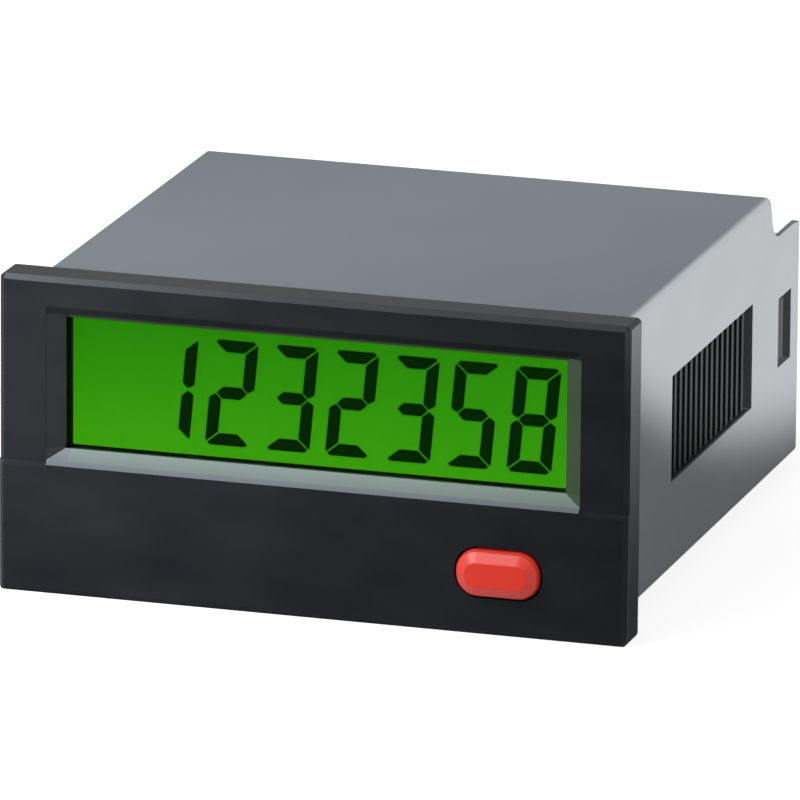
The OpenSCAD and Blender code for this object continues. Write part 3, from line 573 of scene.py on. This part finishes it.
class COUNTER_OT_display(bpy.types.Operator):
    """Finish the window, the glass, the segments and the lit guide"""

    bl_idname = "counter.display"
    bl_label = "Display"

    def execute(self, context):
        look = context.scene.counter_display
        low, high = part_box("display_window")
        lit_foot = low[2] + 0.7 * MM
        glass = (0.97, 0.99, 0.97)
        dress("display_window", clear("pane", (0.98, 0.99, 0.985), index=1.06))
        dress("lcd_front_glass", clear("front_glass", glass, index=1.03))
        dress("lcd_rear_glass", clear("rear_glass", glass, index=1.03, rough=0.02))
        dress("lcd_segments", segment_film("segment_film", look.segments))
        dress("light_guide", lit_guide("lit_guide", look, lit_foot, high[2]))
        dress("display_gasket", foam("gasket_foam", tone(16, 17, 18)))
        dress("backlight_leds", moulded("diode_package", tone(232, 228, 190), gloss=0.4,
                                        mottle=0.02))
        dress("contact_strip", foam("contact_rubber", tone(188, 186, 176)))
        return {"FINISHED"}


class COUNTER_OT_button(bpy.types.Operator):
    """Finish the red button and the switch behind it"""

    bl_idname = "counter.button"
    bl_label = "Reset button"

    def execute(self, context):
        look = context.scene.counter_mouldings
        low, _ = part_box("reset_button")
        bevel_start = low[1] + 0.03 * MM

        def bevels(bench):
            """1 behind the flat face."""
            _, y, _ = bench.xyz()
            return y > bevel_start

        dress("reset_button", glossy_plastic("button_plastic", look.button, bevels))
        dress("switch_plunger", moulded("plunger_plastic", tone(224, 220, 208), rough=0.45,
                                        gloss=0.4))
        dress("switch_body", moulded("switch_plastic", tone(40, 41, 43), gloss=0.4))
        return {"FINISHED"}


class COUNTER_OT_sleeve(bpy.types.Operator):
    """Finish the grey sleeve and the dark rear cover"""

    bl_idname = "counter.sleeve"
    bl_label = "Sleeve and cover"

    def execute(self, context):
        look = context.scene.counter_mouldings
        _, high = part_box("housing")
        side, top = high[0], high[2]
        edge, edge_gloss = 0.45 * MM, 0.15
        grille_outside, grille_inside = side - 0.2 * MM, side - 1.3 * MM
        grille_start, grille_end = 13.9 * MM, 35.3 * MM
        grille_level, grille_half = -0.15 * MM, 4.1 * MM

        def edges(bench):
            """The gloss of the two upper edges."""
            x, _, z = bench.xyz()
            return (z > top - edge) * (abs(x) > side - edge) * edge_gloss

        def ribs(bench):
            """1 on the ribs of the grilles in the side walls, which get painted shade."""
            x, y, z = bench.xyz()
            return (abs(x).between(grille_inside, grille_outside)
                    * y.between(grille_start, grille_end) * (abs(z - grille_level) < grille_half))

        # Painted shade: the grille ribs get a much darker base colour
        dress("housing", moulded("sleeve_plastic", look.sleeve, rough=0.55, gloss=0.06,
                                 grain=look.grain, depth=look.grain_depth, mottle=0.04,
                                 polished=edges, painted_shade=ribs))
        dress("rear_cover", moulded("cover_plastic", look.cover, rough=0.5, gloss=0.12,
                                    grain=look.grain, depth=look.grain_depth))
        return {"FINISHED"}


class COUNTER_OT_boards(bpy.types.Operator):
    """Finish the boards and the components on them"""

    bl_idname = "counter.boards"
    bl_label = "Boards"

    def execute(self, context):
        look = context.scene.counter_boards
        dress("main_board", lacquered_board("main_board_lacquer", look.mask, look.track))
        dress("display_board", lacquered_board("display_board_lacquer", look.mask, look.track))
        dress("battery_cell", plated("cell_can", look.steel, rough=0.28))
        dress("battery_tabs", plated("tab_strip", lighter(look.steel, -0.05), rough=0.34,
                                     stretch=(1, 8, 1)))
        dress("crystal", plated("crystal_can", look.steel, stretch=(6, 1, 1)))
        dress("chip_resistors", moulded("resistor_ceramic", tone(44, 44, 46), rough=0.4,
                                        gloss=0.5, mottle=0.02))
        self.chip(look)
        self.couplers(look)
        self.header(look)
        self.capacitors(look)
        return {"FINISHED"}

    def chip(self, look):
        """The microcontroller: its leads stand out from the body on all four sides."""
        low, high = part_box("microcontroller")
        middle = (low + high) / 2
        half = (high[0] - low[0]) / 2 - 1.0 * MM

        def body(bench):
            x, y, _ = bench.xyz()
            return abs(x - middle[0]).larger(abs(y - middle[1])) < half

        dress("microcontroller", package("chip_package", look.package, look.tin, body))

    def couplers(self, look):
        """The optocouplers: their leads stand out at the front and at the rear."""
        low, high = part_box("optocouplers")
        middle = (low[1] + high[1]) / 2
        half = (high[1] - low[1]) / 2 - 0.99 * MM

        def body(bench):
            _, y, _ = bench.xyz()
            return abs(y - middle) < half

        dress("optocouplers", package("coupler_package", look.package, look.tin, body))

    def header(self, look):
        """The board connector: its pins lie in front of and below the moulded strip."""
        _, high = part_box("board_connector")
        strip = 2.51 * MM

        def body(bench):
            _, y, z = bench.xyz()
            return (y > high[1] - strip) * (z > high[2] - strip)

        dress("board_connector", package("header_package", look.package, look.brass, body))

    def capacitors(self, look):
        """The filter capacitors: a bright can on a black base."""
        low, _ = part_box("filter_capacitors")
        base = low[2] + 0.8 * MM

        def body(bench):
            _, _, z = bench.xyz()
            return z < base

        dress("filter_capacitors", package("capacitor_can", look.package,
                                           lighter(look.steel, 0.05), body))


class COUNTER_OT_solder(bpy.types.Operator):
    """Solder the pins of the terminals and of the connector under the main board"""

    bl_idname = "counter.solder"
    bl_label = "Solder joints"

    def execute(self, context):
        look = context.scene.counter_boards
        tin = plated("solder_tin", look.tin, rough=0.24, dull=0.2)

        low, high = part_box("terminal_pins")
        pitch, half_pin, pin_line = 5 * MM, 1.2 * MM, low[1] + 0.4 * MM
        count = max(2, round((high[0] - low[0] - 2 * half_pin) / pitch) + 1)
        columns = np.linspace(low[0] + half_pin, high[0] - half_pin, count)
        self.row("terminal_solder", columns, pin_line, 0.66 * MM, look.solder_reach, look, tin)

        low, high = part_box("board_connector")
        pitch, pin_line = 2.54 * MM, high[1] - 1.25 * MM
        reach = look.solder_reach * 0.78
        columns = np.arange(low[0] + pitch / 2, high[0], pitch)
        self.row("connector_solder", columns, pin_line, 0.47 * MM, reach, look, tin)
        return {"FINISHED"}

    def row(self, name, columns, line, core, reach, look, tin):
        """One row of joints under the main board, at the X of each column and Y equal to line."""
        board_low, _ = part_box("main_board")
        spots = [(x, line) for x in columns]
        points, faces = solder_joints(spots, board_low[2], reach, core, look.solder_height)
        mesh_object(name, points, faces, "case", tin)


class COUNTER_OT_terminals(bpy.types.Operator):
    """Finish the terminal block and its metal parts"""

    bl_idname = "counter.terminals"
    bl_label = "Terminals"

    def execute(self, context):
        look = context.scene.counter_boards
        plastics = context.scene.counter_mouldings
        dress("terminal_block", moulded("block_plastic", lighter(plastics.cover, 0.01),
                                        gloss=0.35, grain=plastics.grain,
                                        depth=plastics.grain_depth))
        dress("terminal_screws", plated("screw_steel", look.steel, stretch=(1, 6, 1)))
        dress("terminal_cages", plated("cage_steel", lighter(look.steel, -0.08), rough=0.36,
                                       stretch=(6, 1, 1)))
        dress("terminal_pins", plated("pin_brass", look.brass, rough=0.32, stretch=(1, 1, 6)))
        return {"FINISHED"}


class COUNTER_OT_studio(bpy.types.Operator):
    """Set up the floor, the light and the camera"""

    bl_idname = "counter.studio"
    bl_label = "Studio"

    COOL = (0.87, 1.0, 1.11)
    COOLISH = (0.9, 1.0, 1.1)
    WARM = (1.06, 1.0, 0.96)

    # Name, setting of the power, place, width and colour of each softbox
    SOFTBOXES = (
        ("overhead_box", "overhead", (-0.272, -0.217, 0.43), 0.26, COOL),
        ("rear_box", "rear", (0.27, 0.95, 0.30), 0.12, COOLISH),
        ("side_box", "fill", (0.62, 0.0, 0.10), 0.3, WARM),
        ("face_box", "face", (-0.25, -0.85, 0.35), 0.4, WHITE),
    )

    # Name, setting of the power, place, aim point, reach of the beam round that point, softness
    # of the beam's edge, radius of the lamp and colour of each spot
    SPOTS = (
        ("side_spot", "side", (0.62, 0.03, 0.065), (22.4 * MM, 67 * MM, 134 * MM), 150 * MM,
         0.08, 2 * MM, WARM),
        ("front_spot", "front", (-0.25, -0.30, 0.10), (-29 * MM, -3 * MM, 13 * MM), 38 * MM,
         1.0, 20 * MM, WHITE),
    )

    # Mirrored at a low angle, these would whiten the top when it is seen from the left
    UNMIRRORED = ("side_box", "side_spot")

    def execute(self, context):
        look = context.scene.counter_studio
        scene = context.scene
        self.floor(CAD_BOX[0][2] - 0.01 * MM)
        self.surroundings(scene, look)
        for name, setting, place, width, shade in self.SOFTBOXES:
            self.softbox(name, place, width, getattr(look, setting), shade)
        for name, setting, place, aim, reach, soft, radius, shade in self.SPOTS:
            self.spot(name, place, aim, reach, getattr(look, setting), soft, radius, shade)
        for name in self.UNMIRRORED:
            bpy.data.objects[name].visible_glossy = False
        self.camera(scene, look)
        scene.view_settings.view_transform = "Standard"
        return {"FINISHED"}

    def floor(self, height, half=1.5):
        """A pale sheet that is white to the camera and still takes the shadow."""
        points = np.array([[-half, -half, height], [half, -half, height],
                           [half, half, height], [-half, half, height]])
        mesh = bpy.data.meshes.new("floor")
        mesh.from_pydata(points.tolist(), [], [(0, 1, 2, 3)])
        sheet = bpy.data.objects.new("floor", mesh)
        bpy.context.scene.collection.objects.link(sheet)
        finish = Finish("floor_sheet")
        glow = finish.blend(self.seen(finish, 0.4), BLACK, (0.85, 0.85, 0.85))
        finish.set(Base_Color=(0.5, 0.5, 0.5), Roughness=0.9, Specular_IOR_Level=0.0,
                   Emission_Color=glow, Emission_Strength=1.0)
        mesh.materials.append(finish.material)

    def seen(self, bench, gloss):
        """1 for rays from the camera and through glass, less for gloss, and 0 for light."""
        path = bench.add("ShaderNodeLightPath")
        camera, glossy, through = (Signal(bench, path.outputs[key]) for key in
                                   ("Is Camera Ray", "Is Glossy Ray", "Is Transmission Ray"))
        return camera.larger(glossy * gloss).larger(through)

    def surroundings(self, scene, look):
        """A white backdrop for the camera and an even ambient light for the object."""
        world = bpy.data.worlds.new("backdrop")
        scene.world = world
        world.use_nodes = True
        bench = Bench(world.node_tree)
        seen = self.seen(bench, 0.5)
        light = bench.add("ShaderNodeBackground", {}, {"Color": WHITE, "Strength": look.ambient})
        white = bench.add("ShaderNodeBackground", {}, {"Color": WHITE, "Strength": 1.0})
        both = bench.add("ShaderNodeMixShader", {},
                         {0: seen, 1: light.outputs[0], 2: white.outputs[0]})
        bench.add("ShaderNodeOutputWorld", {}, {"Surface": both.outputs[0]})

    def lamp(self, name, kind, place, line, watts, shade):
        """A lamp of this kind at place that shines along line."""
        light = bpy.data.lights.new(name, kind)
        light.energy = watts
        light.color = shade
        holder = bpy.data.objects.new(name, light)
        turn = line.to_track_quat("-Z", "Y").to_matrix().to_4x4()
        holder.matrix_world = Matrix.Translation(place) @ turn
        bpy.context.scene.collection.objects.link(holder)
        return holder

    def softbox(self, name, place, width, watts, shade):
        """A soft square lamp of this width that faces the origin and isn't seen itself."""
        holder = self.lamp(name, "AREA", place, -Vector(place), watts, shade)
        holder.data.shape = "SQUARE"
        holder.data.size = width
        holder.visible_camera = False

    def spot(self, name, place, aim, reach, watts, soft, radius, shade):
        """A lamp of this radius whose round beam ends at reach from the aim point, with an edge
        that is sharp where soft is 0."""
        line = Vector(aim) - Vector(place)
        holder = self.lamp(name, "SPOT", place, line, watts, shade)
        holder.data.spot_size = 2 * math.atan(reach / line.length)
        holder.data.spot_blend = soft
        holder.data.shadow_soft_size = radius

    def camera(self, scene, look):
        """The photograph's camera: it looks at a point 20 mm behind the panel plane."""
        turn, rise, roll = look.azimuth, look.elevation, look.roll
        back = Vector((math.sin(turn) * math.cos(rise), -math.cos(turn) * math.cos(rise),
                       math.sin(rise)))
        right = Vector((math.cos(turn), math.sin(turn), 0.0))
        up = back.cross(right)
        side = right * math.cos(roll) + up * math.sin(roll)
        head = up * math.cos(roll) - right * math.sin(roll)
        aim = Vector((0.0, 20 * MM, 0.0))
        eye = aim + back * look.distance + side * look.aim_right + head * look.aim_up
        view = bpy.data.cameras.new("view")
        view.sensor_width = FILM_WIDTH
        view.lens = look.lens
        view.clip_start = 0.05
        view.clip_end = 10.0
        holder = bpy.data.objects.new("view", view)
        holder.matrix_world = Matrix((
            (side.x, head.x, back.x, eye.x), (side.y, head.y, back.y, eye.y),
            (side.z, head.z, back.z, eye.z), (0.0, 0.0, 0.0, 1.0)))
        bpy.context.scene.collection.objects.link(holder)
        scene.camera = holder


STEPS = (COUNTER_OT_bezel, COUNTER_OT_display, COUNTER_OT_button, COUNTER_OT_sleeve,
         COUNTER_OT_boards, COUNTER_OT_solder, COUNTER_OT_terminals, COUNTER_OT_studio)
SETTINGS = {"counter_mouldings": CounterMouldings, "counter_display": CounterDisplay,
            "counter_boards": CounterBoards, "counter_studio": CounterStudio}


class COUNTER_PT_steps(bpy.types.Panel):
    """Lists the steps and their settings in the sidebar"""

    bl_idname = "COUNTER_PT_steps"
    bl_label = "Panel counter"
    bl_space_type = "VIEW_3D"
    bl_region_type = "UI"
    bl_category = "Counter"

    def draw(self, context):
        layout = self.layout
        for step in STEPS:
            layout.operator(step.bl_idname)
        for name, group in SETTINGS.items():
            box = layout.box()
            for key in group.__annotations__:
                box.prop(getattr(context.scene, name), key)


def register():
    for kind in (*SETTINGS.values(), *STEPS, COUNTER_PT_steps):
        bpy.utils.register_class(kind)
    for name, group in SETTINGS.items():
        setattr(bpy.types.Scene, name, PointerProperty(type=group))


def unregister():
    for name in SETTINGS:
        delattr(bpy.types.Scene, name)
    for kind in reversed((*SETTINGS.values(), *STEPS, COUNTER_PT_steps)):
        bpy.utils.unregister_class(kind)


def main():
    register()
    for step in STEPS:
        group, name = step.bl_idname.split(".")
        getattr(getattr(bpy.ops, group), name)()


if __name__ == "__main__":
    main()
